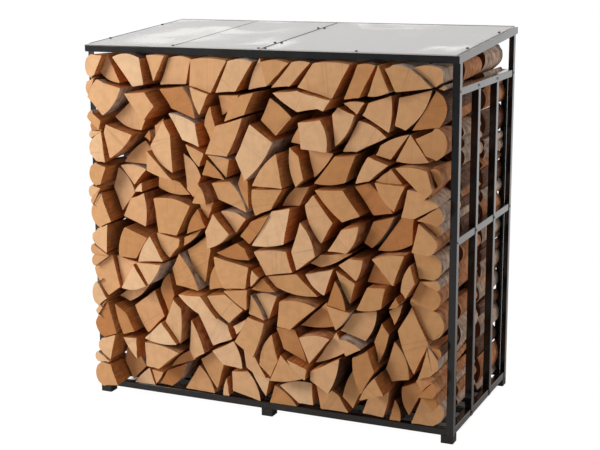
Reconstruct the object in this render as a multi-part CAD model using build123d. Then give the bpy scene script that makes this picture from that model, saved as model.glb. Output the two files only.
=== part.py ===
from build123d import *
import os
from math import atan2, cos, degrees, hypot, radians, sin, tan
from random import Random

# Open steel log store with a clear lean-to roof, stacked full of split firewood.
# X runs along the front from left to right, Y from front to back, Z up, in millimetres.

# Driving dimensions of the frame
WIDTH = 1430.0  # over the outsides of the corner posts
DEPTH = 700.0  # over the outsides of the corner posts
FRONT_EAVE = 1346.0  # top of the roof frame at its front edge
BACK_EAVE = 1396.0  # top of the roof frame at its back edge
LEG = 25.0  # each leg of every steel angle
STEEL = 2.0  # thickness of every steel angle
BEND = 2.6  # outside radius of the bend in an angle
MIDDLE_RAIL = 705.0  # underside of the rails at half height
UPPER_RAIL = 1215.0  # underside of the rails below the roof
SIDE_BARS = 2  # upright bars in each side
BACK_BARS = 5  # upright bars in the back, besides one beside each corner post
FIT = 0.3  # clearance between pieces that are not pressed together

# Floor
FOOT = 45.0  # side of each square plastic foot
FOOT_HEIGHT = 28.0
FOOT_EDGE = 3.0  # rounding of a foot
SPIGOT = 17.0  # side of the peg that stands up inside a corner post
BEARER = 30.0  # width of the flat bar under the floor bars
BEARER_THICK = 5.0
FLOOR_BARS = 5
TUBE_WALL = 1.5

# Roof
ROOF_OVERHANG = 18.0  # beyond the posts at the front and at the back
SHEET = 4.0  # thickness of the clear sheets
SHEET_INSET = 12.0  # from the outside of the roof frame to the edge of a sheet
SHEET_EDGE = 4.0  # from the front and back of the roof frame to a sheet
SHEET_JOINT = 3.0  # open joint between the two sheets

# Firewood
LOG_ROWS = ("front", "middle", "back")
LOG_LENGTH = 250.0
ROW_GAP = 6.0  # between the sawn ends of two rows
END_SCATTER = 70.0  # how far a sawn end may stand back at the front of the store
ROW_SCATTER = 6.0  # and in the rows behind
UNDER_ROOF = 1.0  # air between the steel of the roof and the highest logs
BACK_ROW_SHORT = 32.0  # how far the back row, which is not quite full, ends below that
TOUCH = 0.3  # between two logs that rest on each other
AIR_GAP = 30.0  # widest gap between two logs that don't
LOOSENESS = 0.24  # widest half of a gap, in shares of the log's height over that side
BARK_TURNS = (8.0, 32.0)  # how far a bark side turns from its middle to its end, in degrees
EDGE_BARK_TURN = 52.0  # the same for the rounder logs at the sides of the stack
BARK_RISE = 24.0  # how far a bark side may bulge
BARK_FLATS = 3  # flats that make up the round of a bark side
COURSES = 12  # lines of wedges one above the other
WEDGES = 12  # wedges side by side along one line
WANDER = 0.34  # how far the corners of the wedges wander, in shares of a wedge
PAIRED = 0.8  # share of the wedges that are joined into four-sided logs
HALVED = 0.6  # share of the wedges at the sides of the stack that are split once more
SQUARENESS = 0.35  # sine of the sharpest corner that a four-sided log may have
SEED = 9  # another number gives another stack

# Places that follow from the driving dimensions
HALF = WIDTH / 2
FLOOR = FOOT_HEIGHT + LEG
BACK_CLEAR = STEEL + LEG + FIT  # the back rails reach this far into the store
FRONT_REACH = len(LOG_ROWS) * LOG_LENGTH + (len(LOG_ROWS) - 1) * ROW_GAP - (DEPTH - BACK_CLEAR)
FRONT = (FRONT_REACH - DEPTH - ROOF_OVERHANG) / 2  # outside of the front posts
BACK = FRONT + DEPTH
ROOF_RISE = BACK_EAVE - FRONT_EAVE
ROOF_RUN = DEPTH + 2 * ROOF_OVERHANG
ROOF_LENGTH = hypot(ROOF_RUN, ROOF_RISE)
ROOF_PITCH = degrees(atan2(ROOF_RISE, ROOF_RUN))
ROOF_FRAME = Pos(0, FRONT - ROOF_OVERHANG, FRONT_EAVE) * Rot(ROOF_PITCH, 0, 0)
STACK_HALF = HALF - STEEL - LEG - TOUCH  # half the width between the bars of the sides


def block(low, high):
    """Box between two opposite corners."""
    size = [h - l for l, h in zip(low, high)]
    return Pos(*low) * Box(*size, align=(Align.MIN, Align.MIN, Align.MIN))


def angle_section():
    """L-shaped section with its corner at the origin, bent from flat steel."""
    corners = [(0, 0), (LEG, 0), (LEG, STEEL), (STEEL, STEEL), (STEEL, LEG), (0, LEG)]
    section = make_face(Polyline(*corners, close=True))
    outer = section.vertices().sort_by_distance((0, 0, 0))[0]
    return fillet(outer, BEND)


def angle_bar(corner, leg_one, leg_two, length):
    """Steel angle. Its corner line starts at a point and runs along leg_one x leg_two."""
    along = Vector(*leg_one).cross(Vector(*leg_two))
    plane = Plane(origin=corner, x_dir=leg_one, z_dir=along)
    return extrude(plane * angle_section(), length)


def corner_post(side, at_back):
    """Upright angle in a corner, with its top cut to the slope of the roof."""
    x = side * HALF
    y = BACK if at_back else FRONT
    inward_x = (-side, 0, 0)
    inward_y = (0, -1 if at_back else 1, 0)
    legs = (inward_x, inward_y) if side * inward_y[1] < 0 else (inward_y, inward_x)
    post = angle_bar((x, y, FOOT_HEIGHT), *legs, BACK_EAVE)
    roof_underside = Plane(ROOF_FRAME * Pos(0, 0, -STEEL))
    return split(post, bisect_by=roof_underside, keep=Keep.BOTTOM)


def long_rail(at_back, top):
    """Angle along the front or the back, behind the legs of the posts, its flat leg on top."""
    y = BACK - STEEL if at_back else FRONT + STEEL
    reach = HALF - 2 * STEEL
    if at_back:
        return angle_bar((-reach, y, top), (0, -1, 0), (0, 0, -1), 2 * reach)
    return angle_bar((-reach, y, top), (0, 0, -1), (0, 1, 0), 2 * reach)


def side_rail(side, top, long_rails):
    """Angle along a side, inside the legs of the posts, its flat leg on top.

    The flat leg is cut back where a long rail comes in at the same height.
    """
    x = side * (HALF - STEEL)
    down, inward = (0, 0, -1), (-side, 0, 0)
    start = FRONT + STEEL
    length = DEPTH - 2 * STEEL
    if side > 0:
        rail = angle_bar((x, start, top), down, inward, length)
    else:
        rail = angle_bar((x, start, top), inward, down, length)
    for end in long_rails:
        y = FRONT if end == "front" else BACK - STEEL - LEG
        low = (min(x - side * STEEL, x - side * 2 * LEG), y, top - STEEL)
        high = (max(x - side * STEEL, x - side * 2 * LEG), y + STEEL + LEG, top + 1)
        rail -= block(low, high)
    return rail


def wall_bar():
    """Upright angle of a wall, drawn with the outside of the wall at y = 0 and the store behind.

    Its outer leg laps the lower rails and stops under the upper one. The leg that reaches in
    is cut away where it meets them.
    """
    height = UPPER_RAIL + LEG - STEEL - FIT - FOOT_HEIGHT
    bar = angle_bar((0, 0, FOOT_HEIGHT), (1, 0, 0), (0, 1, 0), height)
    for bottom in (FOOT_HEIGHT, MIDDLE_RAIL):
        bar -= block((-1, STEEL, bottom - FIT), (LEG, 2 * LEG, bottom + LEG + FIT))
    return bar - block((-1, -1, UPPER_RAIL - FIT), (2 * LEG, 2 * STEEL + FIT, UPPER_RAIL + LEG))


def side_bar(side, y):
    """Upright angle in a side, its inward leg towards the front."""
    bar = Pos(HALF, y - LEG / 2, 0) * Rot(0, 0, 90) * wall_bar()
    return bar if side > 0 else mirror(bar, about=Plane.YZ)


def back_bar(x):
    """Upright angle in the back."""
    return Pos(x + LEG / 2, BACK, 0) * Rot(0, 0, 180) * wall_bar()


def back_bar_places():
    """Even places along the back, and one beside each corner post."""
    end = HALF - LEG - FIT - LEG / 2
    return [-end, *spread(-HALF, HALF, BACK_BARS), end]


def foot(x, y):
    """Square plastic foot with rounded uprights."""
    pad = Pos(x, y, 0) * Box(FOOT, FOOT, FOOT_HEIGHT, align=(Align.CENTER, Align.CENTER, Align.MIN))
    return fillet(pad.edges().filter_by(Axis.Z), FOOT_EDGE)


def corner_foot(side, at_back):
    """Foot under a corner post, with a peg inside the corner of the post and the rails."""
    inset = 2 * STEEL + FIT + SPIGOT / 2
    x = side * (HALF - inset)
    y = BACK - inset if at_back else FRONT + inset
    height = LEG - STEEL - 2 * FIT
    peg = Pos(x, y, FOOT_HEIGHT) * Box(SPIGOT, SPIGOT, height, align=(Align.CENTER, Align.CENTER, Align.MIN))
    foot_y = BACK - FOOT / 2 if at_back else FRONT + FOOT / 2
    return foot(side * (HALF - FOOT / 2), foot_y) + peg


def middle_foot(at_back):
    """Foot at the middle of a long rail, under the end of the bearer."""
    return foot(0, BACK - FOOT / 2 if at_back else FRONT + FOOT / 2)


def bearer():
    """Flat bar from the front to the back that carries the floor bars at mid-span."""
    inset = 2 * STEEL
    low = (-BEARER / 2, FRONT + inset, FOOT_HEIGHT)
    return block(low, (BEARER / 2, BACK - inset, FOOT_HEIGHT + BEARER_THICK))


def floor_bar(y):
    """Square tube across the store, its ends notched under the flat legs of the side rails."""
    bottom = FOOT_HEIGHT + BEARER_THICK
    size = FLOOR - bottom
    reach = HALF - 2 * STEEL
    tube = block((-reach, y - size / 2, bottom), (reach, y + size / 2, FLOOR))
    hollow = size / 2 - TUBE_WALL
    middle = bottom + size / 2
    tube -= block((-HALF, y - hollow, middle - hollow), (HALF, y + hollow, middle + hollow))
    notch = HALF - STEEL - LEG
    for side in (-1, 1):
        near, far = side * notch, side * HALF
        tube -= block((min(near, far), y - size, FLOOR - STEEL), (max(near, far), y + size, FLOOR + 1))
    return tube


def roof_side_rail(side):
    """Angle along a side of the roof, lapping the outside of the posts."""
    x = side * (HALF + STEEL)
    down, inward = (0, 0, -1), (-side, 0, 0)
    legs = (down, inward) if side > 0 else (inward, down)
    rail = angle_bar((x, 0, 0), *legs, ROOF_LENGTH)
    for y in (0, ROOF_LENGTH - LEG):
        near, far = side * HALF, side * (HALF - 2 * LEG)
        rail -= block((min(near, far), y, -STEEL), (max(near, far), y + LEG, 1))
    return ROOF_FRAME * rail


def roof_long_rail(at_back):
    """Angle along the front or the back of the roof, its flat leg on top."""
    if at_back:
        return ROOF_FRAME * angle_bar((-HALF, ROOF_LENGTH, 0), (0, -1, 0), (0, 0, -1), WIDTH)
    return ROOF_FRAME * angle_bar((-HALF, 0, 0), (0, 0, -1), (0, 1, 0), WIDTH)


def middle_rafter(side):
    """One of the two angles back to back under the joint of the sheets."""
    down, outward = (0, 0, -1), (side, 0, 0)
    legs = (outward, down) if side > 0 else (down, outward)
    return ROOF_FRAME * angle_bar((0, LEG, 0), *legs, ROOF_LENGTH - 2 * LEG)


def roof_sheet(side):
    """Clear sheet over one half of the roof."""
    inner = SHEET_JOINT / 2
    outer = HALF + STEEL - SHEET_INSET
    low = (min(side * inner, side * outer), SHEET_EDGE, 0)
    high = (max(side * inner, side * outer), ROOF_LENGTH - SHEET_EDGE, SHEET)
    return ROOF_FRAME * block(low, high)


def row_ends(row):
    """The front and the back of a row of logs, from the front to the back of the store."""
    rows_behind = len(LOG_ROWS) - 1 - LOG_ROWS.index(row)
    back = BACK - BACK_CLEAR - rows_behind * (LOG_LENGTH + ROW_GAP)
    return back - LOG_LENGTH, back


def row_top(row):
    """Height of a row: up to the steel of the roof at its front end, or lower at the back."""
    front, _ = row_ends(row)
    run = max(0, front - FRONT + ROOF_OVERHANG)
    steel = FRONT_EAVE + run * ROOF_RISE / ROOF_RUN - LEG * ROOF_LENGTH / ROOF_RUN
    return steel - UNDER_ROOF - (BACK_ROW_SHORT if row == "back" else 0)


def wedge_lines(top, chance):
    """Lines of points across the stack, one above the other, that the wedges' corners share."""
    step = 2 * STACK_HALF / WEDGES
    rise = (top - FLOOR) / COURSES
    lines = []
    for level in range(COURSES + 1):
        shares = [0, *[n + 0.5 for n in range(WEDGES)], WEDGES] if level % 2 else range(WEDGES + 1)
        line = []
        for share in shares:
            wander_x = chance.uniform(-WANDER, WANDER) * step if 0 < share < WEDGES else 0
            wander_z = chance.uniform(-WANDER, WANDER) * rise if 0 < level < COURSES else 0
            line.append((-STACK_HALF + share * step + wander_x, FLOOR + level * rise + wander_z))
        lines.append(line)
    return lines


def wedges_between(lower, upper):
    """Triangles that fill the strip between two lines, each as three corners, anticlockwise."""
    found = []
    for n in range(max(len(lower), len(upper)) - 1):
        if len(upper) > len(lower):
            found.append((lower[n], upper[n + 1], upper[n]))
            if n + 1 < len(lower):
                found.append((lower[n], lower[n + 1], upper[n + 1]))
        else:
            found.append((lower[n], lower[n + 1], upper[n]))
            if n + 1 < len(upper):
                found.append((lower[n + 1], upper[n + 1], upper[n]))
    return found


def halved_at_sides(triangles, chance):
    """The triangles, with some of those at the sides of the stack split into two smaller ones."""
    found = []
    for triangle in triangles:
        on_side = [p for p in triangle if abs(p[0]) > STACK_HALF - 1]
        if len(on_side) < 2 or chance.random() > HALVED:
            found.append(triangle)
            continue
        start = next(n for n in range(3) if triangle[n - 1] not in on_side)
        a, b, c = (triangle[(start + n) % 3] for n in range(3))
        share = chance.uniform(WANDER, 1 - WANDER)
        between = (a[0], a[1] + share * (b[1] - a[1]))
        found += [(a, between, c), (between, b, c)]
    return found


def turn(a, b, c):
    """Twice the area of the triangle a, b, c, which is positive if it turns to the left."""
    return (b[0] - a[0]) * (c[1] - a[1]) - (b[1] - a[1]) * (c[0] - a[0])


def distance(a, b):
    """Distance between two points of the front view."""
    return hypot(b[0] - a[0], b[1] - a[1])


def joined(one, two):
    """The four-sided piece that two triangles with a common side make, or None if it isn't convex."""
    shared = [p for p in one if p in two]
    if len(shared) != 2:
        return None
    far = next(p for p in two if p not in shared)
    start = next(n for n in range(3) if one[n] in shared and one[(n + 1) % 3] in shared)
    ring = [one[start], far, one[(start + 1) % 3], one[(start + 2) % 3]]
    sides = [distance(ring[n - 1], ring[n]) for n in range(4)]
    turns = [turn(ring[n - 1], ring[n], ring[(n + 1) % 4]) for n in range(4)]
    sines = [t / sides[n] / sides[(n + 1) % 4] for n, t in enumerate(turns)]
    return ring if min(sines) > SQUARENESS else None


def log_outlines(top, chance):
    """Corner lists of all the logs of one row, which share out the stack without a gap."""
    lines = wedge_lines(top, chance)
    triangles = [t for n in range(COURSES) for t in wedges_between(lines[n], lines[n + 1])]
    triangles = halved_at_sides(triangles, chance)
    chance.shuffle(triangles)
    outlines = []
    while triangles:
        first = triangles.pop()
        pairs = [(joined(first, t), t) for t in triangles]
        pairs = [(ring, t) for ring, t in pairs if ring]
        if pairs and chance.random() < PAIRED:
            ring, second = chance.choice(pairs)
            triangles.remove(second)
            outlines.append(ring)
        else:
            outlines.append(list(first))
    return outlines


def sides_of(ring):
    """The sides of an outline, each as its two ends."""
    return list(zip(ring, ring[1:] + ring[:1]))


def side_gaps(outlines, chance):
    """Half the gap at each side that two logs share, by the middle of the side.

    Each log rests on the log or the floor under its longest lower side. The other sides
    are left open by chance, but never so far that two logs lose the middle of a shared side.
    """
    widest = {}
    for ring in outlines:
        for n, (a, b) in enumerate(sides_of(ring)):
            beside = min(turn(a, b, ring[n - 1]), turn(a, b, ring[(n + 2) % len(ring)]))
            room = min(AIR_GAP / 2, LOOSENESS * beside / distance(a, b))
            middle = (a[0] + b[0], a[1] + b[1])
            widest[middle] = min(widest.get(middle, room), room)
    gaps = {middle: chance.uniform(TOUCH / 2, half) for middle, half in widest.items()}
    for ring in outlines:
        a, b = max(sides_of(ring), key=lambda side: side[1][0] - side[0][0])
        gaps[(a[0] + b[0], a[1] + b[1])] = TOUCH / 2
    return gaps


def shrunk(ring, gaps):
    """The convex outline with each side moved inwards by its own gap."""
    moved = []
    for a, b in sides_of(ring):
        share = gaps[(a[0] + b[0], a[1] + b[1])] / distance(a, b)
        start = (a[0] - (b[1] - a[1]) * share, a[1] + (b[0] - a[0]) * share)
        moved.append((start, (b[0] - a[0], b[1] - a[1])))
    corners = []
    for n in range(len(ring)):
        (p, d), (q, e) = moved[n - 1], moved[n]
        share = ((q[0] - p[0]) * e[1] - (q[1] - p[1]) * e[0]) / (d[0] * e[1] - d[1] * e[0])
        corners.append((p[0] + share * d[0], p[1] + share * d[1]))
    return corners


def bark_side(ring, top, chance):
    """Number of the side that keeps its bark: one at the edge of the stack, or else a long one.

    It comes with how far that side turns, in degrees.
    """
    weights = []
    for a, b in sides_of(ring):
        at_side = min(abs(a[0]), abs(b[0])) > STACK_HALF - 1
        at_top = min(a[1], b[1]) > top - 1
        on_floor = max(a[1], b[1]) < FLOOR + 1
        likely = 9 if at_side else 4 if at_top else 0 if on_floor else chance.uniform(0.6, 1)
        weights.append(likely * distance(a, b))
    number = weights.index(max(weights))
    a, b = sides_of(ring)[number]
    at_edge = min(abs(a[0]), abs(b[0])) > STACK_HALF - 1
    return number, EDGE_BARK_TURN if at_edge else chance.uniform(*BARK_TURNS)


def corner_angle(before, corner, after):
    """Angle inside the outline at a corner, in radians."""
    first = atan2(before[1] - corner[1], before[0] - corner[0])
    second = atan2(after[1] - corner[1], after[0] - corner[0])
    return (first - second) % radians(360)


def log_section(ring, bark_number, bark_turn):
    """Sawn end of one split log: straight split sides and one bark side rounded in flats.

    The middle flat lies on the side that the bark takes, and the round ends on the two
    sides beside it.
    """
    ring = ring[bark_number:] + ring[:bark_number]
    a, b = ring[0], ring[1]
    chord = distance(a, b)
    along = ((b[0] - a[0]) / chord, (b[1] - a[1]) / chord)
    at_a, at_b = corner_angle(ring[-1], a, b), corner_angle(a, b, ring[2])
    half_turn = min(radians(bark_turn), 4 * BARK_RISE / chord, at_a, at_b)
    crown = cos(half_turn / BARK_FLATS)
    end_depth = (crown - cos(half_turn)) / sin(half_turn) / 2  # in shares of the span
    span = chord / (1 + end_depth / tan(at_a) + end_depth / tan(at_b))
    radius = span / 2 / sin(half_turn)
    centre = end_depth * span / tan(at_a) + span / 2
    bark = []
    for n in range(BARK_FLATS + 1):
        turned = half_turn * (2 * n / BARK_FLATS - 1)
        share = centre + radius * sin(turned)
        depth = radius * (crown - cos(turned))
        x = a[0] + along[0] * share - along[1] * depth
        z = a[1] + along[1] * share + along[0] * depth
        bark.append((x, z))
    return make_face(Polyline(*bark, *ring[2:], close=True))


def log_row(row):
    """All the logs of one row, ordered from the floor up."""
    chance = Random(SEED + LOG_ROWS.index(row))
    row_front, row_back = row_ends(row)
    top = row_top(row)
    upright = Plane(origin=(0, 0, 0), x_dir=(1, 0, 0), z_dir=(0, -1, 0))
    outlines = log_outlines(top, chance)
    outlines.sort(key=lambda ring: sum(z for _, z in ring) / len(ring))
    gaps = side_gaps(outlines, chance)
    logs = []
    for ring in outlines:
        section = upright * log_section(shrunk(ring, gaps), *bark_side(ring, top, chance))
        on_floor = min(z for _, z in ring) < FLOOR + 1
        back = row_back - chance.uniform(0, ROW_GAP)
        front = row_front + chance.uniform(0, END_SCATTER if row == "front" else ROW_SCATTER)
        if row == "front" and on_floor:
            front = FRONT + chance.uniform(0, 2 * STEEL)
        logs.append(Pos(0, back, 0) * extrude(section, back - front))
    return logs


def save(name, *solids):
    """Writes one node, made of one or more solids that don't touch."""
    shape = solids[0] if len(solids) == 1 else Compound(children=list(solids))
    export_step(shape, f"parts/{name}.step")


def spread(low, high, count):
    """Even places between two ends."""
    return [low + (high - low) * (n + 1) / (count + 1) for n in range(count)]


def main():
    os.makedirs("parts", exist_ok=True)
    for side, hand in ((-1, "left"), (1, "right")):
        for at_back, end in ((False, "front"), (True, "back")):
            save(f"{end}_{hand}_post", corner_post(side, at_back))
            save(f"{end}_{hand}_foot", corner_foot(side, at_back))
        save(f"{hand}_bottom_rail", side_rail(side, FLOOR, ("front", "back")))
        save(f"{hand}_middle_rail", side_rail(side, MIDDLE_RAIL + LEG, ("back",)))
        save(f"{hand}_upper_rail", side_rail(side, UPPER_RAIL + LEG, ("back",)))
        for n, y in enumerate(spread(FRONT, BACK, SIDE_BARS)):
            save(f"{hand}_side_bar_{n + 1}", side_bar(side, y))
        save(f"roof_{hand}_rail", roof_side_rail(side))
        save(f"{hand}_middle_rafter", middle_rafter(side))
        save(f"{hand}_roof_sheet", roof_sheet(side))
    for at_back, end in ((False, "front"), (True, "back")):
        save(f"{end}_bottom_rail", long_rail(at_back, FLOOR))
        save(f"{end}_middle_foot", middle_foot(at_back))
        save(f"roof_{end}_rail", roof_long_rail(at_back))
    save("back_middle_rail", long_rail(True, MIDDLE_RAIL + LEG))
    save("back_upper_rail", long_rail(True, UPPER_RAIL + LEG))
    save("back_bars", *[back_bar(x) for x in back_bar_places()])
    save("floor_bearer", bearer())
    save("floor_bars", *[floor_bar(y) for y in spread(FRONT, BACK, FLOOR_BARS)])
    for row in LOG_ROWS:
        logs = log_row(row)
        print(row, "row:", len(logs), "logs")
        save(f"{row}_row_logs", *logs)


main()
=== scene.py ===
# %% [markdown]
# # Dressing an open log store
# The store is a frame of thin black steel angle with a clear roof, stacked full of split firewood.
# Its solids come ready made and at their real size. This lesson gives every surface its finish, and
# turns the plain prisms of the firewood into logs that were sawn, split and left to dry.
#
# First the solids are loaded. Their box is kept, because nothing added later may reach past it.

from functools import partial
from math import atan2, cos, pi, radians, sin

import bpy
import numpy as np
from mathutils import Matrix, Vector


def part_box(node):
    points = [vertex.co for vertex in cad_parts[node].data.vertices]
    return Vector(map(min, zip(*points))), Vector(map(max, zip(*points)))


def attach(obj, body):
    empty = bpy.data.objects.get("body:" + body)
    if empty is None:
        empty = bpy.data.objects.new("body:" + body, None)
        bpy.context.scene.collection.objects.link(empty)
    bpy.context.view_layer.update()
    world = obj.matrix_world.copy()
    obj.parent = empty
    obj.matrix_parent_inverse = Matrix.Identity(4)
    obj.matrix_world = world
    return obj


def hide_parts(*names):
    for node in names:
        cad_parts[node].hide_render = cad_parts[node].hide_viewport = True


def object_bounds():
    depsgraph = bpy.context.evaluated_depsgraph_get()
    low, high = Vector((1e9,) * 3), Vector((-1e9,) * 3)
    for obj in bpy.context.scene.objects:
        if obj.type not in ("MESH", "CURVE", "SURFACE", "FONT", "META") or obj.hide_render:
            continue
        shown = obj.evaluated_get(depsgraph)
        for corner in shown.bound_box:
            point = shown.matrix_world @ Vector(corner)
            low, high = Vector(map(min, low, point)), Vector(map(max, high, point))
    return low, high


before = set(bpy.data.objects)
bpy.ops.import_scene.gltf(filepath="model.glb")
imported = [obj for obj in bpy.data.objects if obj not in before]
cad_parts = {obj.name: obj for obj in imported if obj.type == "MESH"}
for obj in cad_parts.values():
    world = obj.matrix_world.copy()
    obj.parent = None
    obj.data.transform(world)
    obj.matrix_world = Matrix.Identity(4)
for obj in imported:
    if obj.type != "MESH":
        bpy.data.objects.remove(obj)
cad_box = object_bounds()
MM = 0.001
print(len(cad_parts), "nodes, box", [list(corner) for corner in cad_box])

# %% [markdown]
# ## Camera
# The photograph was taken from the front right, a little above the roof. The place and the angles were
# fitted to the feet, rails and roof corners of the frame. A camera in Blender looks down its own -Z,
# so it is first tipped up to the horizon, then turned to the left, and rolled last.

# %% Camera
CAMERA_PLACE = (1.960, -4.415, 1.719)
TURNED_LEFT, TIPPED_DOWN, ROLLED = radians(23.95), radians(12.38), radians(-0.34)
LENS = 78.0

camera_data = bpy.data.cameras.new("camera")
camera_data.lens = LENS
camera = bpy.data.objects.new("camera", camera_data)
camera.matrix_world = (
    Matrix.Translation(CAMERA_PLACE)
    @ Matrix.Rotation(TURNED_LEFT, 4, "Z")
    @ Matrix.Rotation(pi / 2 - TIPPED_DOWN, 4, "X")
    @ Matrix.Rotation(ROLLED, 4, "Z")
)
bpy.context.scene.collection.objects.link(camera)
bpy.context.scene.camera = camera
bpy.context.scene.view_settings.view_transform = "Standard"
print("camera", [round(x, 2) for x in camera.location], "lens", LENS, "mm")

# %% [markdown]
# ## Colours and nodes
# Colours are picked in sRGB, as a colour chart gives them, while Blender shades with linear light, so
# one function turns a hex value into linear red, green and blue. Another adds a node, sets its
# sockets and makes its links, which keeps each material down to a readable list of nodes. A new
# material comes with that function bound to its own nodes, and its output is added like any other.

# %% Helpers for colours and nodes
def linear(hex_colour):
    """Linear RGBA of an sRGB hex colour: a gamma curve of 2.4 with a short straight start."""
    share = np.array([int(hex_colour[n : n + 2], 16) for n in (1, 3, 5)]) / 255
    lit = np.where(share <= 0.04045, share / 12.92, ((share + 0.055) / 1.055) ** 2.4)
    return (*lit.tolist(), 1.0)


def add_node(tree, kind, inputs=(), stops=(), **settings):
    """Adds one node. Inputs map a socket to a value, a socket, or a node for its first socket.

    Stops are the places and colours of a ramp, and settings are the node's own options.
    """
    made = tree.nodes.new("ShaderNode" + kind)
    for name, value in settings.items():
        setattr(made, name, value)
    for socket, value in dict(inputs).items():
        if isinstance(value, bpy.types.Node):
            value = value.outputs[0]
        if isinstance(value, bpy.types.NodeSocket):
            tree.links.new(value, made.inputs[socket])
        else:
            made.inputs[socket].default_value = value
    if stops:
        elements = made.color_ramp.elements
        while len(elements) < len(stops):
            elements.new(1.0)
        for element, (place, colour) in zip(elements, stops):
            element.position, element.color = place, linear(colour)
    return made


def new_material(name):
    """An empty material, and the function that adds a node to it."""
    material = bpy.data.materials.new(name)
    material.use_nodes = True
    material.node_tree.nodes.clear()
    return material, partial(add_node, material.node_tree)


print("wood", [round(x, 3) for x in linear("#D1A379")], "in linear light")

# %% [markdown]
# ## Backdrop and light
# The store stands on a white sweep. The floor is a plain surface that glows white to the camera,
# mixed with a little matt white that keeps a faint shadow. The world does the same for the
# background, and lights the object far more softly than it shows. A studio is white behind the
# object and dark behind the camera, so in reflections both fade from white at the back to dark grey
# at the front. That is what keeps the front of the frame black while its sides shine. Under the
# store the floor has no glow at all, so the gaps between the lowest logs look into real shade.

# %% Floor and world
FLOOR_REACH = 40.0
SHADOW_SHARE = 0.10  # how much of the floor's look comes from the light that falls on it
FLOOR_GLOW = 1.09  # a little over white makes up for that share
SKY_LIGHT = 0.30  # the soft light from all round
FRONT_DARK, BEHIND = 0.08, 0.98  # what reflections show of the studio's front and of its back
STORE_MIDDLE = 0.09  # Y of the middle of the shaded floor under the store, in metres
STORE_HALF, STORE_DEEP = 0.70, 0.285  # half its width and half its depth
SHADE_EDGE = 0.04  # over which it fades
FLOOR_FADE = (0.4, 4.0)  # Y in metres between which the floor goes from dark to white in reflections
SKY_FADE = (-0.4, 0.3)  # Y of a direction between which the world does


def background_strength(add, soft, behind, fade):
    """White to the camera and through clear plastic, soft to soft light, and in between in mirrors."""
    path = add("LightPath")
    mirrored = add("MapRange", {"Value": behind, "From Min": fade[0], "From Max": fade[1],
                                "To Min": FRONT_DARK, "To Max": BEHIND})
    gloss = add("Mix", {0: path.outputs["Is Glossy Ray"], 2: soft, 3: mirrored})
    seen = add("Math", {0: path.outputs["Is Camera Ray"], 1: path.outputs["Is Transmission Ray"]},
               operation="MAXIMUM")
    return add("Mix", {0: seen, 2: gloss, 3: 1.0})


def white_floor():
    """Matt white floor that looks like white paper with a faint shadow."""
    material, add = new_material("white_paper_sweep")
    place = add("SeparateXYZ", {0: add("TexCoord").outputs["Object"]})
    matt = add("BsdfDiffuse", {"Color": linear("#F2F2F2")})
    strength = background_strength(add, 0.0, place.outputs["Y"], FLOOR_FADE)
    glow = add("Emission", {"Color": linear("#FFFFFF"), "Strength": FLOOR_GLOW})
    across = add("Math", {0: place.outputs["X"]}, operation="ABSOLUTE")
    behind = add("Math", {0: place.outputs["Y"], 1: STORE_MIDDLE}, operation="SUBTRACT")
    deep = add("Math", {0: behind}, operation="ABSOLUTE")
    in_width = add("MapRange", {"Value": across, "From Min": STORE_HALF,
                                "From Max": STORE_HALF - SHADE_EDGE, "To Max": 1.0})
    in_depth = add("MapRange", {"Value": deep, "From Min": STORE_DEEP,
                                "From Max": STORE_DEEP - SHADE_EDGE, "To Max": 1.0})
    under = add("Math", {0: in_width, 1: in_depth}, operation="MULTIPLY")
    open_floor = add("Math", {0: 1.0, 1: under}, operation="SUBTRACT")
    lit = add("Math", {0: strength, 1: open_floor}, operation="MULTIPLY")
    share = add("Math", {0: lit, 1: 1 - SHADOW_SHARE}, operation="MULTIPLY")
    mixed = add("MixShader", {0: share, 1: matt, 2: glow})
    add("OutputMaterial", {"Surface": mixed})
    mesh = bpy.data.meshes.new("floor")
    corners = [(x * FLOOR_REACH, y * FLOOR_REACH, 0) for x, y in ((-1, -1), (1, -1), (1, 1), (-1, 1))]
    mesh.from_pydata(corners, [], [(0, 1, 2, 3)])
    mesh.materials.append(material)
    floor = bpy.data.objects.new("floor", mesh)
    bpy.context.scene.collection.objects.link(floor)
    return floor


white_floor()

world = bpy.data.worlds.new("white_studio")
bpy.context.scene.world = world
world.use_nodes = True
world.node_tree.nodes.clear()
add_to_sky = partial(add_node, world.node_tree)
heading = add_to_sky("SeparateXYZ", {0: add_to_sky("TexCoord").outputs["Generated"]})
backdrop = add_to_sky("Background", {
    "Color": linear("#FFFFFF"),
    "Strength": background_strength(add_to_sky, SKY_LIGHT, heading.outputs["Y"], SKY_FADE)})
add_to_sky("OutputWorld", {"Surface": backdrop})
print("floor", 2 * FLOOR_REACH, "m wide, soft light", SKY_LIGHT)

# %% [markdown]
# The logs are brighter at the left than at the right, and the sides that face right are in shade, so
# the main lamp is a large soft box near the front left, close enough to fade across the front. A weak
# tall one behind the right side draws the light edges along the steel. An area lamp of a given
# radiance needs a power of radiance times area times pi.

# %% Lamps
AIM = Vector((0.0, 0.0, 0.70))


def soft_box(name, place, width, height, radiance, colour):
    """Rectangular area lamp that faces the middle of the store."""
    data = bpy.data.lights.new(name, "AREA")
    data.shape, data.size, data.size_y = "RECTANGLE", width, height
    data.energy = radiance * width * height * pi
    data.color = linear(colour)[:3]
    lamp = bpy.data.objects.new(name, data)
    towards = (AIM - Vector(place)).to_track_quat("-Z", "Y")
    lamp.matrix_world = Matrix.Translation(place) @ towards.to_matrix().to_4x4()
    bpy.context.scene.collection.objects.link(lamp)
    print(name, round(data.energy, 1), "W")


soft_box("key_box", (-2.6, -2.4, 1.9), 1.5, 1.5, 13.0, "#FFFAF4")
soft_box("edge_box", (3.4, 2.6, 1.2), 1.6, 2.4, 3.4, "#FFE0CC")

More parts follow.
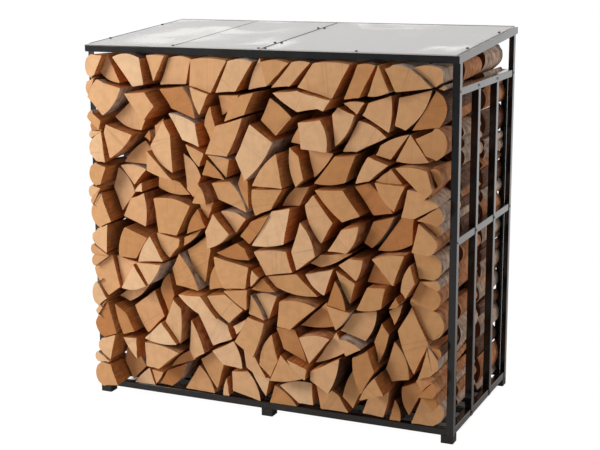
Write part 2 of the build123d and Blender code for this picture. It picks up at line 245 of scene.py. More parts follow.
# %% [markdown]
# ## Black steel
# The frame is bent from 2 mm steel and powder coated black. The powder melts into a smooth skin with
# a slight orange peel, glossy enough to draw white lines where a side catches the background. The
# base is nearly black, and its roughness wanders a little, as a wiped and handled coat does. The
# melted top of the powder is smoother than what lies under it, so it gets a coat of its own.

# %% Powder-coated steel
PEEL = 1.4 * MM  # width of one dimple of the orange peel
SMEAR = 60 * MM  # width of a duller patch


def powder_coated_steel():
    """Black polyester powder coat on steel: a dark plastic skin with a fine peel."""
    material, add = new_material("powder_coated_steel")
    place = add("TexCoord").outputs["Object"]
    smear = add("TexNoise", {"Vector": place, "Scale": 1 / SMEAR, "Detail": 3.0})
    peel = add("TexNoise", {"Vector": place, "Scale": 1 / PEEL, "Detail": 1.0})
    dull = add("MapRange", {"Value": smear, "To Min": 0.24, "To Max": 0.40})
    tint = add("ValToRGB", {0: smear}, stops=((0.3, "#0C0C0E"), (0.7, "#141416")))
    bump = add("Bump", {"Height": peel, "Strength": 0.12, "Distance": 0.1 * MM})
    skin = add("BsdfPrincipled", {
        "Base Color": tint, "Roughness": dull, "Normal": bump, "IOR": 1.5, "Specular IOR Level": 0.2,
        "Coat Weight": 0.82, "Coat Roughness": 0.10})
    add("OutputMaterial", {"Surface": skin})
    return material


# %% [markdown]
# The feet are moulded from black plastic. A mould spark-eroded to a fine grain leaves it matt, so it
# shows as a soft dark grey and the steel above it shows by its gloss.

# %% Moulded plastic
GRAIN = 0.9 * MM  # real mould grain is finer, and is drawn at a size that still shows


def moulded_plastic():
    """Matt black polypropylene with a fine mould grain."""
    material, add = new_material("moulded_polypropylene")
    place = add("TexCoord").outputs["Object"]
    grain = add("TexNoise", {"Vector": place, "Scale": 1 / GRAIN, "Detail": 2.0})
    tint = add("ValToRGB", {0: grain}, stops=((0.3, "#161616"), (0.7, "#232323")))
    bump = add("Bump", {"Height": grain, "Strength": 0.4, "Distance": 0.1 * MM})
    skin = add("BsdfPrincipled", {"Base Color": tint, "Roughness": 0.55, "Normal": bump, "IOR": 1.49})
    add("OutputMaterial", {"Surface": skin})
    return material


# %% [markdown]
# The roof is two sheets of clear polycarbonate, extruded 4 mm thick and hazy with age. Seen along
# its surface such a sheet shows a soft even grey, part haze and part reflection, and hardly what is
# under it. The haze is a matt plastic mixed with the clear one. White clouds drift over it, mostly
# at the left, where the surface mirrors a bright ceiling: those are a share of pale mirror, spread
# by a slow noise with a bias along X. A lamp's light would be lost in real glass, because Blender's
# glass casts a full shadow, so for shadow rays alone the sheet is a clear film.

# %% Clear sheet
CLOUD = 300 * MM  # width of a bright patch
CLOUDY_LEFT = 0.10  # how much likelier a patch is at the left edge than in the middle
CLOUDY_FROM, CLOUDY_TO = -0.15, -0.45  # X in metres between which that grows
HAZE = 0.80  # share of the matt plastic


def clear_polycarbonate():
    """Hazy extruded polycarbonate with soft bright patches."""
    material, add = new_material("hazy_clear_polycarbonate")
    place = add("TexCoord").outputs["Object"]
    cloud = add("TexNoise", {"Vector": place, "Scale": 1 / CLOUD, "Detail": 1.0, "Distortion": 0.8})
    across = add("SeparateXYZ", {0: place}).outputs["X"]
    bias = add("MapRange", {"Value": across, "From Min": CLOUDY_TO, "From Max": CLOUDY_FROM,
                            "To Min": CLOUDY_LEFT, "To Max": 0.0}, interpolation_type="SMOOTHSTEP")
    cloudy = add("Math", {0: cloud, 1: bias}, operation="ADD")
    bright = add("MapRange", {"Value": cloudy, "From Min": 0.52, "From Max": 0.74,
                              "To Min": 0.0, "To Max": 0.66}, interpolation_type="SMOOTHSTEP")
    clear = add("BsdfPrincipled", {
        "Base Color": linear("#F4F6F6"), "Roughness": 0.10, "IOR": 1.58, "Transmission Weight": 1.0})
    matt = add("BsdfPrincipled", {"Base Color": linear("#E9E7E5"), "Roughness": 0.22, "IOR": 1.58})
    mirror = add("BsdfGlossy", {"Color": linear("#FFFEFA"), "Roughness": 0.25})
    hazy = add("MixShader", {0: HAZE, 1: clear, 2: matt})
    sheet = add("MixShader", {0: bright, 1: hazy, 2: mirror})
    film = add("BsdfTransparent", {"Color": linear("#E4E6E6")})
    path = add("LightPath")
    mixed = add("MixShader", {0: path.outputs["Is Shadow Ray"], 1: sheet, 2: film})
    add("OutputMaterial", {"Surface": mixed})
    return material


# %% [markdown]
# The solids of the frame keep their shape and only get a finish, which the name of each one tells.

# %% Finish the solids
steel = powder_coated_steel()
plastic = moulded_plastic()
sheet = clear_polycarbonate()


def finish_of(node):
    """The finish of a solid piece that is shown as it is."""
    if node.endswith("foot"):
        return plastic
    return sheet if node.endswith("sheet") else steel


for node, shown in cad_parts.items():
    shown.data.materials.clear()
    shown.data.materials.append(finish_of(node))
print("solids finished")

# %% [markdown]
# ## Wood
# Three surfaces make a split log. Its ends were sawn across the grain and show growth rings round
# the pith. Its flat sides were split along the grain and show long fibres. Its round side keeps the
# bark. All three patterns need to know where the pith was, which a world position can't say, so the
# mesh carries it: the attribute `pith` holds each point's place from the pith of its own log, in
# metres, and `tone` holds three numbers by chance. The second and third are the same all over a log,
# while the first, which colours the ends, may differ from its front to its back. The first also
# carries painted shade: it is dark at the front ends of the rows behind, and lower to the right.

# %% Shared wood nodes
PATTERN_SHIFT = 7.0  # metres by which a pattern may move from log to log


def wood_places(add):
    """The place from the pith, that place moved by chance from log to log, and the three tones."""
    pith = add("Attribute", attribute_name="pith").outputs["Vector"]
    tone = add("Attribute", attribute_name="tone").outputs["Vector"]
    moved = add("VectorMath", {0: tone, 1: (PATTERN_SHIFT,) * 3}, operation="MULTIPLY")
    apart = add("VectorMath", {0: pith, 1: moved}, operation="ADD")
    tones = add("SeparateXYZ", {0: tone})
    return pith, apart, tones


# %% [markdown]
# A sawn end is pale and smooth. Its colour differs from log to log, from straw to orange brown. The
# front ends of the two rows behind get the first two colours, which are kept for them as painted
# shade: those ends lie in shade between the logs before them. Towards the right the ends take the
# darker and more red colours of the range, a painted shade as well. The rings are a sine of the
# distance from the pith, bent by a noise, and faint, because birch has no hard line between early
# and late wood. The chain of the saw leaves fine parallel scratches, and drying opens thin cracks
# that run out from the pith, which follow the angle round it.

# %% Sawn end grain
RING = 3.4 * MM  # one year's growth
RING_BEND = 5.0 * MM
SCRATCH = 2.2 * MM  # between two strokes of the saw
STAIN = 28 * MM
CRACKS = 3.2  # steps of the noise in each radian round the pith
CRACK_APART = 40.0  # keeps the cracks of two logs unlike
CRACK_WIDTH, CRACK_SHADE = 0.010, 0.84


def sawn_end_grain():
    """End of a log cut across the grain with a chain saw."""
    material, add = new_material("sawn_birch_end_grain")
    pith, apart, tones = wood_places(add)
    flat = add("VectorMath", {0: pith, 1: (1.0, 0.0, 1.0)}, operation="MULTIPLY")
    bent = add("TexNoise", {"Vector": apart, "Scale": 1 / STAIN, "Detail": 2.0})
    out = add("VectorMath", {0: flat}, operation="LENGTH")
    wander = add("Math", {0: bent, 1: RING_BEND, 2: out.outputs["Value"]}, operation="MULTIPLY_ADD")
    years = add("Math", {0: wander, 1: 2 * pi / RING}, operation="MULTIPLY")
    wave = add("Math", {0: years}, operation="SINE")
    ring = add("MapRange", {"Value": wave, "From Min": -1.0, "To Min": 0.965, "To Max": 1.0})

    # painted shade: the first two stops are only for the front ends of the rows behind, which lie in shade
    body = add("ValToRGB", {0: tones.outputs["X"]}, stops=(
        (0.0, "#381509"), (0.03, "#94491D"), (0.1, "#BA7C47"), (0.3, "#D09B68"), (0.6, "#DBA97A"),
        (0.8, "#E2B68A"), (1.0, "#E8C29B")))
    stain = add("MapRange", {"Value": bent, "From Min": 0.35, "From Max": 0.7,
                             "To Min": 1.04, "To Max": 0.92})
    scratches = add("Mapping", {"Vector": apart, "Rotation": (0.0, 0.5, 0.0),
                                "Scale": (1 / SCRATCH, 1.0, 12.0)})
    scratch = add("TexNoise", {"Vector": scratches, "Scale": 1.0, "Detail": 2.0})
    rubbed = add("MapRange", {"Value": scratch, "From Min": 0.3, "From Max": 0.7,
                              "To Min": 0.97, "To Max": 1.03})
    shades = add("Math", {0: ring, 1: stain}, operation="MULTIPLY")
    shade = add("Math", {0: shades, 1: rubbed}, operation="MULTIPLY")

    split = add("SeparateXYZ", {0: pith})
    angle = add("Math", {0: split.outputs["Z"], 1: split.outputs["X"]}, operation="ARCTAN2")
    round_place = add("CombineXYZ", {"X": angle, "Y": tones.outputs["Z"], "Z": tones.outputs["Y"]})
    spokes = add("VectorMath", {0: round_place, 1: (CRACKS, CRACK_APART, CRACK_APART)}, operation="MULTIPLY")
    spoke = add("TexNoise", {"Vector": spokes, "Scale": 1.0, "Detail": 2.0})
    off = add("Math", {0: spoke, 1: 0.5}, operation="SUBTRACT")
    near = add("Math", {0: off}, operation="ABSOLUTE")
    crack = add("MapRange", {"Value": near, "From Max": CRACK_WIDTH, "To Min": CRACK_SHADE})
    cracked = add("Math", {0: shade, 1: crack}, operation="MULTIPLY")
    colour = add("VectorMath", {0: body, 1: cracked}, operation="MULTIPLY")
    bump = add("Bump", {"Height": cracked, "Strength": 0.35, "Distance": 1.0 * MM})
    skin = add("BsdfPrincipled", {
        "Base Color": colour, "Roughness": 0.78, "Normal": bump, "Specular IOR Level": 0.3})
    add("OutputMaterial", {"Surface": skin})
    return material


# %% [markdown]
# A split side is torn along the fibres. The noise is stretched along the log, twenty times longer
# than it is wide, and drives both the colour and a bump, so light from one side picks the fibres
# out. It is browner than the sawn end, because it was split months earlier and has weathered.

# %% Split side
FIBRE = 3.0 * MM
FIBRE_LENGTH = 90 * MM


def split_side_grain():
    """Side of a log split along the grain with an axe."""
    material, add = new_material("split_birch_side_grain")
    apart, tones = wood_places(add)[1:]
    along = add("VectorMath", {0: apart, 1: (1 / FIBRE, 1 / FIBRE_LENGTH, 1 / FIBRE)}, operation="MULTIPLY")
    fibre = add("TexNoise", {"Vector": along, "Scale": 1.0, "Detail": 4.0, "Roughness": 0.6})
    broad = add("TexNoise", {"Vector": apart, "Scale": 1 / STAIN, "Detail": 2.0})
    body = add("ValToRGB", {0: fibre}, stops=((0.25, "#A65822"), (0.5, "#CB8246"), (0.75, "#DDA265")))
    weathered = add("MapRange", {"Value": broad, "From Min": 0.3, "From Max": 0.7,
                                 "To Min": 0.75, "To Max": 1.08})
    # the first tone also carries painted shade, so split sides of the rows behind and at the right come out
    # darker
    tone_and_painted_shade = add("MapRange", {"Value": tones.outputs["X"], "To Min": 0.82, "To Max": 1.10})
    shade = add("Math", {0: weathered, 1: tone_and_painted_shade}, operation="MULTIPLY")
    colour = add("VectorMath", {0: body, 1: shade}, operation="MULTIPLY")
    bump = add("Bump", {"Height": fibre, "Strength": 0.6, "Distance": 1.2 * MM})
    skin = add("BsdfPrincipled", {
        "Base Color": colour, "Roughness": 0.8, "Normal": bump, "Specular IOR Level": 0.3})
    add("OutputMaterial", {"Surface": skin})
    return material


# %% [markdown]
# The bark is of three sorts, because the stack mixes birch with other wood. Birch bark is chalky
# white to grey with short dark dashes that run round the trunk. Where its skin peeled it is tan or
# reddish. The other wood has a dark, rough bark with furrows along the trunk. The third tone of a
# log says which sort it has, and all of them are worked out in one material.

# %% Bark
DASH = 3.5 * MM  # a breathing pore of birch bark, measured along the trunk
DASH_ROUND = 26 * MM  # and round it
FURROW = 7 * MM
FURROW_LENGTH = 60 * MM
PEELED_FROM, DARK_FROM = 0.45, 0.80  # third tones at which the bark turns peeled, and then dark


def bark_skin():
    """Birch bark, peeled birch and furrowed dark bark, chosen by the third tone."""
    material, add = new_material("birch_and_furrowed_bark")
    apart, tones = wood_places(add)[1:]
    round_it = add("VectorMath", {0: apart, 1: (1 / DASH_ROUND, 1 / DASH, 1 / DASH_ROUND)},
                   operation="MULTIPLY")
    pores = add("TexNoise", {"Vector": round_it, "Scale": 1.0, "Detail": 2.0})
    patch = add("TexNoise", {"Vector": apart, "Scale": 1 / STAIN, "Detail": 3.0})
    chalk = add("ValToRGB", {0: patch}, stops=(
        (0.3, "#8F7A69"), (0.45, "#BEA896"), (0.6, "#D6C2B0"), (0.8, "#DFD0C1")))
    dash = add("MapRange", {"Value": pores, "From Min": 0.58, "From Max": 0.66,
                            "To Min": 1.0, "To Max": 0.35})
    birch = add("VectorMath", {0: chalk, 1: dash}, operation="MULTIPLY")
    peeled = add("ValToRGB", {0: patch}, stops=((0.3, "#965C3A"), (0.5, "#BF8356"), (0.7, "#D0A074")))
    along = add("VectorMath", {0: apart, 1: (1 / FURROW, 1 / FURROW_LENGTH, 1 / FURROW)},
                operation="MULTIPLY")
    furrows = add("TexNoise", {"Vector": along, "Scale": 1.0, "Detail": 5.0, "Roughness": 0.65})
    dark = add("ValToRGB", {0: furrows}, stops=((0.3, "#2B170E"), (0.5, "#5E3C27"), (0.7, "#8C6548")))
    is_peeled = add("Math", {0: tones.outputs["Z"], 1: PEELED_FROM}, operation="GREATER_THAN")
    is_dark = add("Math", {0: tones.outputs["Z"], 1: DARK_FROM}, operation="GREATER_THAN")
    light = add("Mix", {0: is_peeled, 6: birch, 7: peeled}, data_type="RGBA")
    colour = add("Mix", {0: is_dark, 6: light.outputs[2], 7: dark}, data_type="RGBA")
    rough = add("Mix", {0: is_dark, 2: pores, 3: furrows})
    bump = add("Bump", {"Height": rough, "Strength": 0.7, "Distance": 2.5 * MM})
    skin = add("BsdfPrincipled", {
        "Base Color": colour.outputs[2], "Roughness": 0.75, "Normal": bump, "Specular IOR Level": 0.3})
    add("OutputMaterial", {"Surface": skin})
    return material


WOOD = (sawn_end_grain(), split_side_grain(), bark_skin())
END, SPLIT, BARK = range(3)
print([material.name for material in WOOD])

# %% [markdown]
# ## Reading the stack
# The solids already say where each log lies: a row is a node of about 200 straight prisms. Loose
# triangles that share a corner belong to one log, so every corner starts with its own number, and
# each triangle passes the lowest number of its three corners round until nothing changes.

# %% Find the logs of a row
ROWS = ("front", "middle", "back")
GRID = 0.01 * MM  # corners nearer than this are one corner


def prisms_of(node):
    """The corner points of each separate solid in a node."""
    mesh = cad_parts[node].data
    places = np.empty(len(mesh.vertices) * 3, np.float32)
    mesh.vertices.foreach_get("co", places)
    corners = np.empty(len(mesh.loops), np.int32)
    mesh.loops.foreach_get("vertex_index", corners)
    grid, same = np.unique(np.round(places.reshape(-1, 3) / GRID).astype(int), axis=0, return_inverse=True)
    triangles = same.reshape(-1)[corners].reshape(-1, 3)
    number = np.arange(len(grid))
    while True:
        lowest = number.copy()
        np.minimum.at(lowest, triangles.ravel(), np.repeat(number[triangles].min(axis=1), 3))
        if (lowest == number).all():
            break
        number = lowest
    return [grid[number == n] * GRID for n in np.unique(number)]


print([len(prisms_of(f"{row}_row_logs")) for row in ROWS], "logs in the rows")

# %% [markdown]
# The front of a prism is its outline: three flats of bark and two or three split sides. The corners
# are put in order by their angle round the middle. The two corners with the smallest turns lie on
# the bark, so the ring is rolled to start one corner before them. A log with two split sides gets a
# third by halving the longer one, and then one formula fits all logs. The prisms fill the stack
# closer than real logs do, so inside it each outline is made a little smaller, towards what it lies
# on. Those at the edges and the top keep about their size or grow a little, which closes the stack.

# %% Outline of a log
SLIMMER = (0.0, 0.45)
SHARES = {"front": (0.89, 0.98), "middle": (0.97, 1.0), "back": (0.92, 0.99)}  # of a prism's size
EDGE_SHARES = (0.995, 1.03)  # the same for the logs that close the stack
EDGE_REACH = 687.4 * MM  # the logs stop just inside the rails of the sides
EDGE_OF_STACK, TOP_OF_STACK = 650 * MM, 1290 * MM  # a log that reaches past one of them closes it
LOG_TURN = radians(4)
FLATTER = 0.35  # how far the bark of a log inside the stack may be flattened


def outline(prism, chance):
    """Six corners (x, z), anticlockwise from the start of the bark: four on the bark, two split.

    A wedge comes out slimmer at its split end, so a four-sided one gets its two split corners
    moved towards each other by SLIMMER of the way.
    """
    front = prism[prism[:, 1] < prism[:, 1].mean()][:, [0, 2]]
    from_middle = front - front.mean(axis=0)
    ring = front[np.argsort(np.arctan2(from_middle[:, 1], from_middle[:, 0]))]
    side = np.roll(ring, -1, axis=0) - ring
    heading = np.arctan2(side[:, 1], side[:, 0])
    turned = (heading - np.roll(heading, 1)) % (2 * pi)
    first_on_bark = np.argmin(turned + np.roll(turned, -1))
    ring = np.roll(ring, 1 - first_on_bark, axis=0)
    if len(ring) == 5:
        halves = (ring[3] + ring[4]) / 2, (ring[4] + ring[0]) / 2
        first_is_longer = np.linalg.norm(ring[3] - ring[4]) > np.linalg.norm(ring[4] - ring[0])
        return np.insert(ring, 4, halves[0], axis=0) if first_is_longer else np.vstack((ring, halves[1]))
    middle = (ring[4] + ring[5]) / 2
    ring[4:] += (middle - ring[4:]) * chance.uniform(*SLIMMER)
    return ring


def loosened(corners, at_edge, row, chance):
    """Outlines resized, flattened and turned a little about the middle of their lowest height.

    Place = anchor + turn (place - anchor) times share, for all the logs at once. The two middle
    corners of the bark first go towards the line between the outer two. Logs that close the stack
    are neither flattened nor turned, and the middle row isn't turned.
    """
    middle = (corners.max(axis=1) + corners.min(axis=1)) / 2
    anchor = np.stack((middle[:, 0], corners[:, :, 1].min(axis=1)), axis=1)[:, None]
    closing = (at_edge | (corners[:, :, 1].max(axis=1) > TOP_OF_STACK))[:, None, None]
    count = (len(corners), 1, 1)
    chord = corners[:, :1] + (corners[:, 3:4] - corners[:, :1]) * np.array((1 / 3, 2 / 3))[:, None]
    flatter = np.where(closing, 0, chance.uniform(0, FLATTER, count))
    corners[:, 1:3] += (chord - corners[:, 1:3]) * flatter
    share = np.where(closing, chance.uniform(*EDGE_SHARES, count), chance.uniform(*SHARES[row], count))
    turn = np.where(closing | (row == "middle"), 0, chance.uniform(-LOG_TURN, LOG_TURN, count))
    x, z = np.split(corners - anchor, 2, axis=2)
    across, up = x * np.cos(turn) - z * np.sin(turn), x * np.sin(turn) + z * np.cos(turn)
    placed = anchor + np.concatenate((across, up), axis=2) * share
    placed[:, :, 0] = np.clip(placed[:, :, 0], -EDGE_REACH, EDGE_REACH)
    return placed


# %% [markdown]
# The section of the real log is softer than its outline. Each corner becomes a curve that starts
# before it and ends after it: a curve of second degree, with the corner as its control point. On
# the bark the curves reach to the middle of each flat, so the flats melt into one round. At a split
# corner they are only a few millimetres long. The split sides get two more points each, pushed in by
# chance, because wood never splits flat. Whoever stacks firewood turns the round of a log outwards
# at the edges of the stack, so there the outer side is bent to a round as well.

# %% Section of a log
SPLIT_ROUNDING, ROUNDING_VARIES = 2.4 * MM, (0.5, 1.5)
ROUNDING_MOST = 0.25  # share of the shorter side at a corner
HOLLOW = 1.8 * MM  # how far a split side may be hollow
HOLLOWS_AT = (0.33, 0.67)  # shares of its length
FIRST_SPLIT = 3  # number of the corner where the bark ends and the split sides start
CURVE = {0: (0.0, 1.0), 1: (0.0, 0.33, 0.67), 2: (0.0, 0.33, 0.67, 1.0), 3: (0.0, 1.0),
         4: (0.0, 1.0), 5: (0.0, 1.0)}  # points of the curve at each corner
BARK_POINTS = sum(len(CURVE[n]) for n in range(FIRST_SPLIT + 1))
POINTS = sum(map(len, CURVE.values())) + len(HOLLOWS_AT) * (len(CURVE) - FIRST_SPLIT)
print(POINTS, "points round a log,", BARK_POINTS, "of them on its bark")


def sections(corners, chance):
    """Rounded section of each log, from its six corners: (logs, corners, 2) to (logs, points, 2).

    Point of a curve = (1 - t)^2 * start + 2 t (1 - t) * corner + t^2 * end, with t from 0 to 1.
    """
    before = np.roll(corners, 1, axis=1) - corners
    after = np.roll(corners, -1, axis=1) - corners
    points = []
    for n, shares in CURVE.items():
        near, far = before[:, n], after[:, n]
        near_length = np.linalg.norm(near, axis=1, keepdims=True)
        far_length = np.linalg.norm(far, axis=1, keepdims=True)
        rounding = np.minimum(SPLIT_ROUNDING * chance.uniform(*ROUNDING_VARIES, near_length.shape),
                              ROUNDING_MOST * np.minimum(near_length, far_length))
        start = corners[:, n] + near * (0.5 if n in (1, 2) else rounding / near_length)
        end = corners[:, n] + far * (0.5 if n in (1, 2) else rounding / far_length)
        for t in shares:
            points.append((1 - t) ** 2 * start + 2 * t * (1 - t) * corners[:, n] + t**2 * end)
        if n >= FIRST_SPLIT:
            inward = np.stack((-far[:, 1], far[:, 0]), axis=1) / far_length
            for share in HOLLOWS_AT:
                hollow = HOLLOW * chance.uniform(0, 1, near_length.shape)
                points.append(corners[:, n] + far * share + inward * hollow)
    return np.stack(points, axis=1)


def bent_outside(section, at_edge, bulge):
    """Sections with a round outer side where they lie at an edge of the stack.

    With t from -1 at the lowest to 1 at the highest point, |x| stays below its greatest value
    minus bulge * size * (1 - sqrt(1 - t^2)). Size is half the height or the width, if that is less.
    """
    x, z = section[:, :, 0], section[:, :, 1]
    low, high = z.min(axis=1, keepdims=True), z.max(axis=1, keepdims=True)
    outer, inner = np.abs(x).max(axis=1, keepdims=True), np.abs(x).min(axis=1, keepdims=True)
    t = (2 * z - low - high) / (high - low)
    size = np.minimum((high - low) / 2, outer - inner)
    limit = outer - bulge * size * (1 - np.sqrt(np.maximum(1 - t**2, 0)))
    bent = np.where(at_edge[:, None], np.clip(x, -limit, limit), x)
    return np.stack((bent, z), axis=2)


# %% [markdown]
# A log is its section carried from front to back: a grid of rings by points. The first and the last
# ring are a little smaller, which rounds off the sawn edge, and the rings between are scaled by
# chance, so that a log swells or narrows. At the edges the logs of the first two rows taper to the
# back, and the dark end of the next row looks out behind each. The saw never cuts quite square, so each
# front is tilted by a few degrees, and moved back by as much as the tilt brings it forward. The
# pith lies at the centre of the bark's round, found from three of its corners.

# %% Shape of the logs
RINGS = 5
SAWN_EDGE = 0.9 * MM
TILT = 0.05
NARROWER = 0.035
LEAN = 4.0 * MM  # how far the front of a log may lie off its line
TAPER = {"front": 0.30, "middle": 0.30, "back": 0.02}  # how much slimmer an edge log may end
TAPER_VARIES, TAPER_OF_RING = (0.4, 1), (0, 0, 0.35, 1, 1)  # share that a log and each ring have
BULGE = {"front": 0.75, "middle": 0.75, "back": 0.2}  # how round its outer side is


def centre_of_round(a, b, c):
    """Centre of the circle through three points, for each log.

    Centre = a + (c_z |b|^2 - b_z |c|^2, b_x |c|^2 - c_x |b|^2) / 2 (b x c), with b and c from a.
    """
    ab, ac = b - a, c - a
    twice_cross = 2 * (ab[:, 0] * ac[:, 1] - ab[:, 1] * ac[:, 0])
    ab2, ac2 = (ab**2).sum(axis=1), (ac**2).sum(axis=1)
    x = (ac[:, 1] * ab2 - ab[:, 1] * ac2) / twice_cross
    z = (ab[:, 0] * ac2 - ac[:, 0] * ab2) / twice_cross
    return a + np.stack((x, z), axis=1)


def log_surfaces(corners, front, back, at_edge, row, chance):
    """Points of all logs as an array (logs, rings, points, 3), and the place of each pith.

    Point = middle + (section - middle) * scale of its ring, moved aside by the lean times 1 - share,
    with share from 0 at the front to 1 at the back. Depth = front + share * length, and further back
    by the tilt, also times 1 - share.
    """
    count = len(corners)
    section = bent_outside(sections(corners, chance), at_edge, BULGE[row])
    middle = section.mean(axis=1, keepdims=True)
    size = np.linalg.norm(section - middle, axis=2).max(axis=1)
    scale = 1 - NARROWER * chance.uniform(0, 1, (count, RINGS))
    taper = np.where(at_edge, TAPER[row] * chance.uniform(*TAPER_VARIES, count), 0)[:, None]
    scale -= taper * np.array(TAPER_OF_RING)
    scale[:, 0] = scale[:, 1] - SAWN_EDGE / size
    scale[:, -1] = scale[:, -2] - SAWN_EDGE / size
    length = (back - front)[:, None]
    edge = SAWN_EDGE / length
    share = np.hstack((0 * edge, edge, 0.5 + 0 * edge, 1 - edge, 1 + 0 * edge))
    lean = chance.uniform(-LEAN, LEAN, (count, 1, 1, 2)) * ~at_edge[:, None, None, None]
    flat = middle[:, None] + (section - middle)[:, None] * scale[:, :, None, None]
    flat = flat + lean * (1 - share)[:, :, None, None]
    depth = front[:, None] + share * length
    tilt = chance.uniform(-TILT, TILT, (count, 1, 1, 2))
    leaning = ((flat - middle[:, None]) * tilt).sum(axis=3)
    leaning += np.abs(tilt[..., 0]) * size[:, None, None] + np.abs(tilt[..., 1]) * size[:, None, None]
    y = depth[:, :, None] + leaning * (1 - share)[:, :, None]
    surfaces = np.stack((flat[..., 0], y, flat[..., 1]), axis=3)
    return surfaces, centre_of_round(corners[:, 0], corners[:, 1], corners[:, 3])


# %% [markdown]
# The faces are the same for every log, so they are worked out once as index arrays and shifted by
# the number of points of a log. Quads join each ring to the next, and one many-sided face closes
# each end, which keeps a log under a hundred faces. The same arrays serve for every other piece
# that is a section carried along a line.

# %% Faces of many tubes
def tube_faces(count, rings, points):
    """Corner numbers, and the first corner of each face, of closed tubes of rings by points.

    Number = tube * rings * points + ring * points + point. The two ends come last.
    """
    ring, point = np.meshgrid(np.arange(rings - 1), np.arange(points), indexing="ij")
    after = (point + 1) % points
    quads = np.stack((ring * points + point, (ring + 1) * points + point,
                      (ring + 1) * points + after, ring * points + after), axis=2).reshape(-1, 4)
    first_end = np.arange(points)
    last_end = (rings - 1) * points + first_end[::-1]
    corners = np.concatenate((quads.ravel(), first_end, last_end))
    lengths = np.concatenate((np.full(len(quads), 4), (points, points)))
    shift = np.arange(count)[:, None] * rings * points
    starts = np.concatenate(((0,), np.cumsum(np.tile(lengths, count))[:-1]))
    return (corners + shift).ravel(), starts


print(len(tube_faces(1, RINGS, POINTS)[1]), "faces on a log")


def log_finishes(across, at_edge):
    """Which wood surface each face has. At an edge of the stack the outer half of a log is bark.

    Across is the distance of each point of each section from the middle of the stack.
    """
    face = (across + np.roll(across, -1, axis=1)) / 2
    outside = face > (across.max(axis=1) + across.min(axis=1))[:, None] / 2
    on_bark = (np.arange(POINTS) < BARK_POINTS - 1) | (outside & at_edge[:, None])
    sides = np.tile(np.where(on_bark, BARK, SPLIT), (1, RINGS - 1))
    return np.hstack((sides, np.full((len(across), 2), END))).ravel()


def put_attribute(mesh, name, values):
    """Stores one vector per vertex under a name that materials can read."""
    stored = mesh.attributes.new(name, "FLOAT_VECTOR", "POINT")
    stored.data.foreach_set("vector", values.astype(np.float32).ravel())


def put_mesh(name, points, corners, starts):
    """A mesh from arrays of points, of face corners, and of the first corner of each face."""
    mesh = bpy.data.meshes.new(name)
    mesh.vertices.add(len(points))
    mesh.vertices.foreach_set("co", points.astype(np.float32).ravel())
    mesh.loops.add(len(corners))
    mesh.loops.foreach_set("vertex_index", corners.astype(np.int32))
    mesh.polygons.add(len(starts))
    mesh.polygons.foreach_set("loop_start", starts.astype(np.int32))
    mesh.update(calc_edges=True)
    return mesh


def put_piece(name, mesh):
    """An object at the origin that stands still with the store."""
    piece = bpy.data.objects.new(name, mesh)
    bpy.context.scene.collection.objects.link(piece)
    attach(piece, "root")
    return piece


# %% [markdown]
# Now the rows can be made. Each log draws its tones by chance from a seeded generator, so every run
# gives the same stack. The front ends of the middle and the back row look out through the gaps before
# them, where they lie in shade, and get the dark tones as painted shade. All other ends get the pale
# ones, which are painted darker and more red to the right, a painted shade falling off across the
# front. At the right and left edges the front rows show mostly birch bark, because its round side is
# turned out, and the back row somewhat more dark bark, a painted shade for the back of the stack.
# There the back row also reaches between the bars of the back wall, wherever no rail is in its way,
# so less light shows between them. The inner leg of the left bar lies inside some of these logs. At
# the left the front logs stand out further than their prisms do, and hide most of the post. The logs
# of the top course are made higher, towards the roof, and cut into each other a little there.

# %% Rows of firewood
SEED = 11
UNDER_ROOF = {"front": 1317 * MM, "middle": 1332 * MM, "back": 1335 * MM}  # how high each row may reach
TOP_COURSE = 1268 * MM  # a log that reaches as high as this has none above it
HIGHER = 1.4  # how much higher such a log may be made
BACK_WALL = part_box("back_bars")[1][1]
BAR_CLEARANCE = 3 * MM  # from there to the ends of the logs, just inside the flanges of the bars
LEFT_SCATTER = 28 * MM  # how unevenly the fronts at the left stand out
SMOOTH_BELOW = radians(28)


def clear_of_rails(corners):
    """Whether each log passes above or below every rail of the back that it could meet."""
    low, high = corners[:, :, 1].min(axis=1), corners[:, :, 1].max(axis=1)
    clear = np.ones(len(corners), bool)
    for rail in ("back_middle_rail", "back_upper_rail", "roof_back_rail"):
        bottom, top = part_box(rail)[0][2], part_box(rail)[1][2]
        clear &= (low > top) | (high < bottom)
    return clear


def filled_up(corners, row):
    """The logs of the top course made higher: height above the lowest point times a number."""
    low = corners[:, :, 1].min(axis=1)[:, None]
    high = corners[:, :, 1].max(axis=1)[:, None]
    higher = np.where(high > TOP_COURSE, np.clip((UNDER_ROOF[row] - low) / (high - low), 1, HIGHER), 1)
    return np.stack((corners[:, :, 0], low + (corners[:, :, 1] - low) * higher), axis=2)


# %% [markdown]
# The tones are kept apart from the shapes, because they follow the place of a log and not its form:
# whether it lies at an edge, how far to the right, and which of its ends is looked at. Much of this is
# painted shade: darker ends to the right, dark front ends in the rows behind, and dark bark at the
# back.

# %% Tones of the logs
# powers of the tone of bark at the edges: over 1 give more birch, under 1 more dark bark; the back
# row's power under 1 is a painted shade for the back of the stack
EDGE_BARK = {"front": 1.6, "middle": 1.3, "back": 0.9}
FEWER_BIRCH = 0.28  # how far the tones of bark inside the stack keep off the birch end of their range
OUTER_FROM = 0.1  # the pale tones start here
# painted shade: dark tones for the front ends of the rows behind, which lie in shade, near black at the
# edges
SHADED_END_FROM, SHADED_END_SPAN, SHADED_END_AT_EDGE = 0.03, 0.04, 0.008  # the dark ones, and that at the edges
# painted shade: to the right the pale tones sink towards the darker, more red colours, where less light
# falls
SHADED_RIGHT_FROM, SHADED_RIGHT_TO = 0.10, 0.60  # X in metres between which the ends grow redder
RIGHT_SHADE_SHARE = 0.6  # how much of the range of tones is lost at the right


